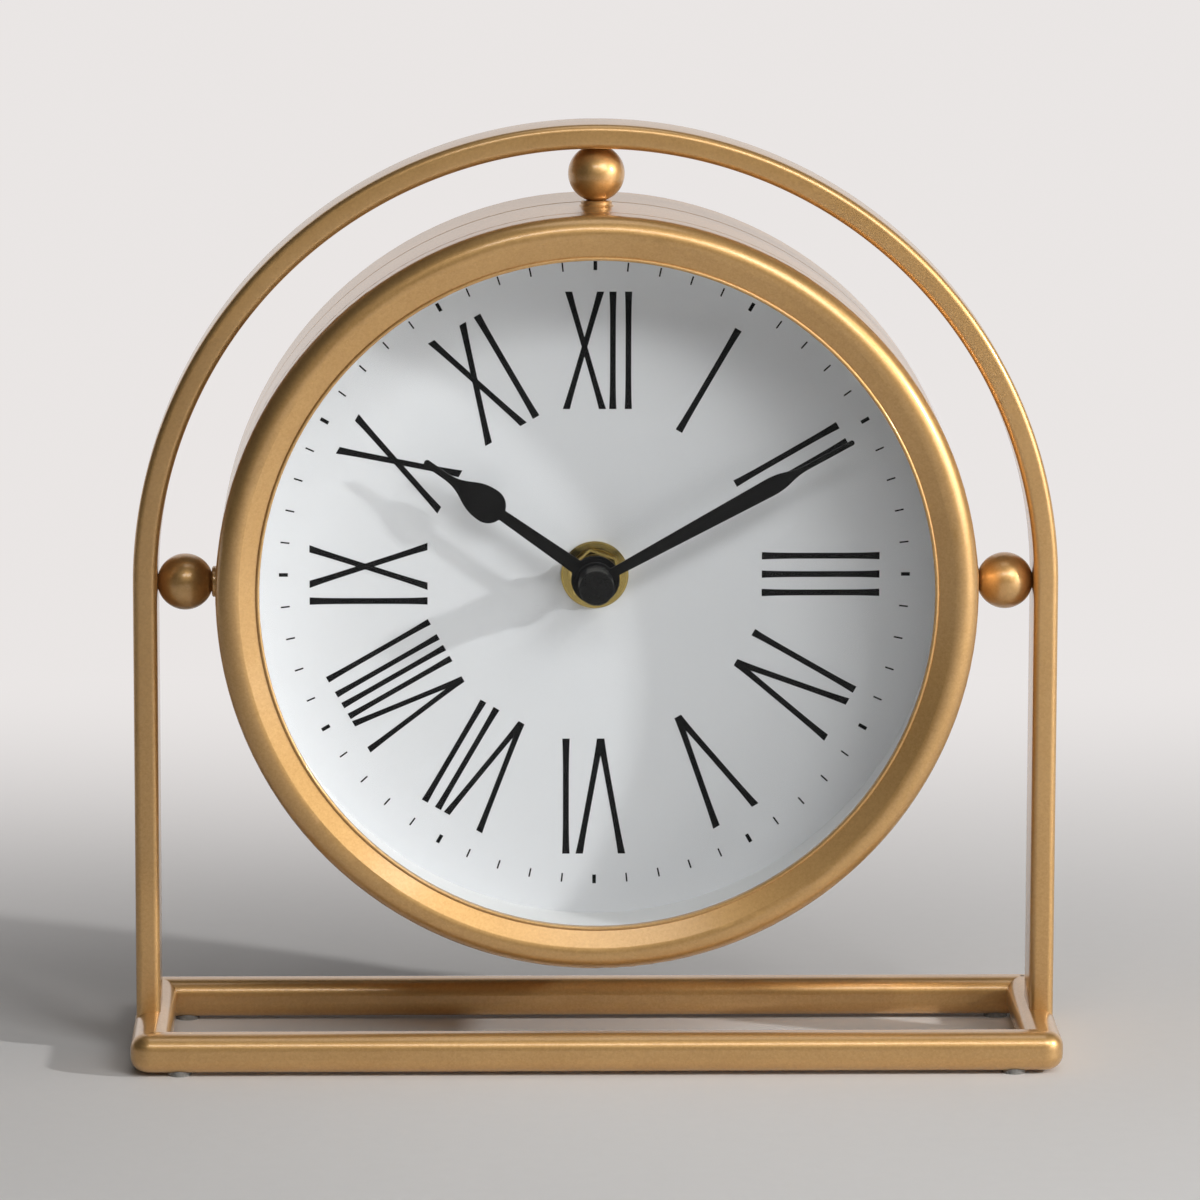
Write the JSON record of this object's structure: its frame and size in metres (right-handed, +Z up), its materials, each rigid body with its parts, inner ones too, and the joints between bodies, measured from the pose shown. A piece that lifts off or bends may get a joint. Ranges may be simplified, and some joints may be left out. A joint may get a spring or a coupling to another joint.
{
  "type": "desk clock",
  "caption": "Quartz desk clock: a round drum head with a Roman dial, held by small balls in an arched flat-bar stand on a rectangular base frame.",
  "frame": {"origin": "on the table, under the middle of the base frame", "axes": "+X right and +Y back as the dial is read, +Z up; the dial faces -Y"},
  "size_m": [0.191, 0.059, 0.193],
  "materials": {
    "gold_paint": "satin",
    "clear_pad": "satin",
    "zinc_steel": "satin",
    "clear_glass": "polished",
    "white_ring": "matte",
    "white_dial": "matte",
    "black_back": "matte",
    "brass": "satin",
    "black_rubber": "matte",
    "black_housing": "matte",
    "pale_plastic": "satin",
    "plated_pipe": "satin",
    "iron": "satin",
    "copper": "satin",
    "board": "satin",
    "cell_jacket": "satin",
    "nickel": "satin",
    "ferrite": "matte",
    "knob": "satin",
    "black_hands": "satin",
    "black_cap": "satin"
  },
  "bodies": {
    "clock_frame": {"stand_arch": "gold_paint", "base_front_bar": "gold_paint", "base_rear_bar": "gold_paint", "base_left_bar": "gold_paint", "base_right_bar": "gold_paint", "ball_top": "gold_paint", "ball_left": "gold_paint", "ball_right": "gold_paint", "case_drum": "gold_paint", "rear_shell": "gold_paint", "bezel_ring": "gold_paint", "foot_pads": "clear_pad", "ball_screws": "zinc_steel", "back_screws": "zinc_steel", "glass_lens": "clear_glass", "spacer_ring": "white_ring", "rear_spacer": "white_ring", "dial_plate": "white_dial", "back_plate": "black_back", "dial_washer": "brass", "dial_nut": "brass", "threaded_bush": "brass", "rubber_washer": "black_rubber", "movement_front_case": "black_housing", "movement_back_case": "black_housing", "middle_plate": "pale_plastic", "stator": "iron", "coil_core": "iron", "coil_winding": "copper", "circuit_board": "board", "battery": "cell_jacket", "contact_positive": "nickel", "contact_negative": "nickel"},
    "minute_set": {"minute_pipe": "plated_pipe", "minute_hand": "black_hands", "hand_cap": "black_cap"},
    "hour_set": {"hour_wheel": "pale_plastic", "hour_hand": "black_hands"},
    "setting_set": {"minute_works_wheel": "pale_plastic", "setting_knob": "knob"},
    "second_set": {"second_wheel": "pale_plastic"},
    "third_set": {"third_wheel": "pale_plastic"},
    "fifth_set": {"fifth_wheel": "pale_plastic"},
    "rotor_set": {"rotor": "ferrite"},
    "centre_set": {"centre_wheel": "pale_plastic"}
  },
  "joints": [
    {"name": "minute_hand_spin", "type": "hinge", "parent": "clock_frame", "child": "minute_set", "pos_m": [0, 0.018, 0.098], "axis": [0, 1, 0], "continuous": true},
    {"name": "hour_hand_spin", "type": "hinge", "parent": "clock_frame", "child": "hour_set", "pos_m": [0, 0.018, 0.098], "axis": [0, 1, 0], "continuous": true},
    {"name": "setting_spin", "type": "hinge", "parent": "clock_frame", "child": "setting_set", "pos_m": [0, 0.018, 0.108], "axis": [0, 1, 0], "continuous": true},
    {"name": "second_wheel_spin", "type": "hinge", "parent": "clock_frame", "child": "second_set", "pos_m": [0, 0.018, 0.098], "axis": [0, 1, 0], "continuous": true},
    {"name": "third_wheel_spin", "type": "hinge", "parent": "clock_frame", "child": "third_set", "pos_m": [0.00867, 0.018, 0.098], "axis": [0, 1, 0], "continuous": true},
    {"name": "fifth_wheel_spin", "type": "hinge", "parent": "clock_frame", "child": "fifth_set", "pos_m": [-0.00779, 0.018, 0.1025], "axis": [0, 1, 0], "continuous": true},
    {"name": "rotor_spin", "type": "hinge", "parent": "clock_frame", "child": "rotor_set", "pos_m": [-0.01319, 0.018, 0.1025], "axis": [0, 1, 0], "continuous": true},
    {"name": "centre_wheel_spin", "type": "hinge", "parent": "clock_frame", "child": "centre_set", "pos_m": [0, 0.018, 0.098], "axis": [0, 1, 0], "continuous": true}
  ],
  "couplings": [
    {"joint": "hour_hand_spin", "follows": "minute_hand_spin", "ratio": 0.083333},
    {"joint": "setting_spin", "follows": "minute_hand_spin", "ratio": -0.33333},
    {"joint": "fifth_wheel_spin", "follows": "second_wheel_spin", "ratio": -6},
    {"joint": "rotor_spin", "follows": "second_wheel_spin", "ratio": 30},
    {"joint": "third_wheel_spin", "follows": "second_wheel_spin", "ratio": -0.13333},
    {"joint": "centre_wheel_spin", "follows": "second_wheel_spin", "ratio": 0.016667}
  ]
}
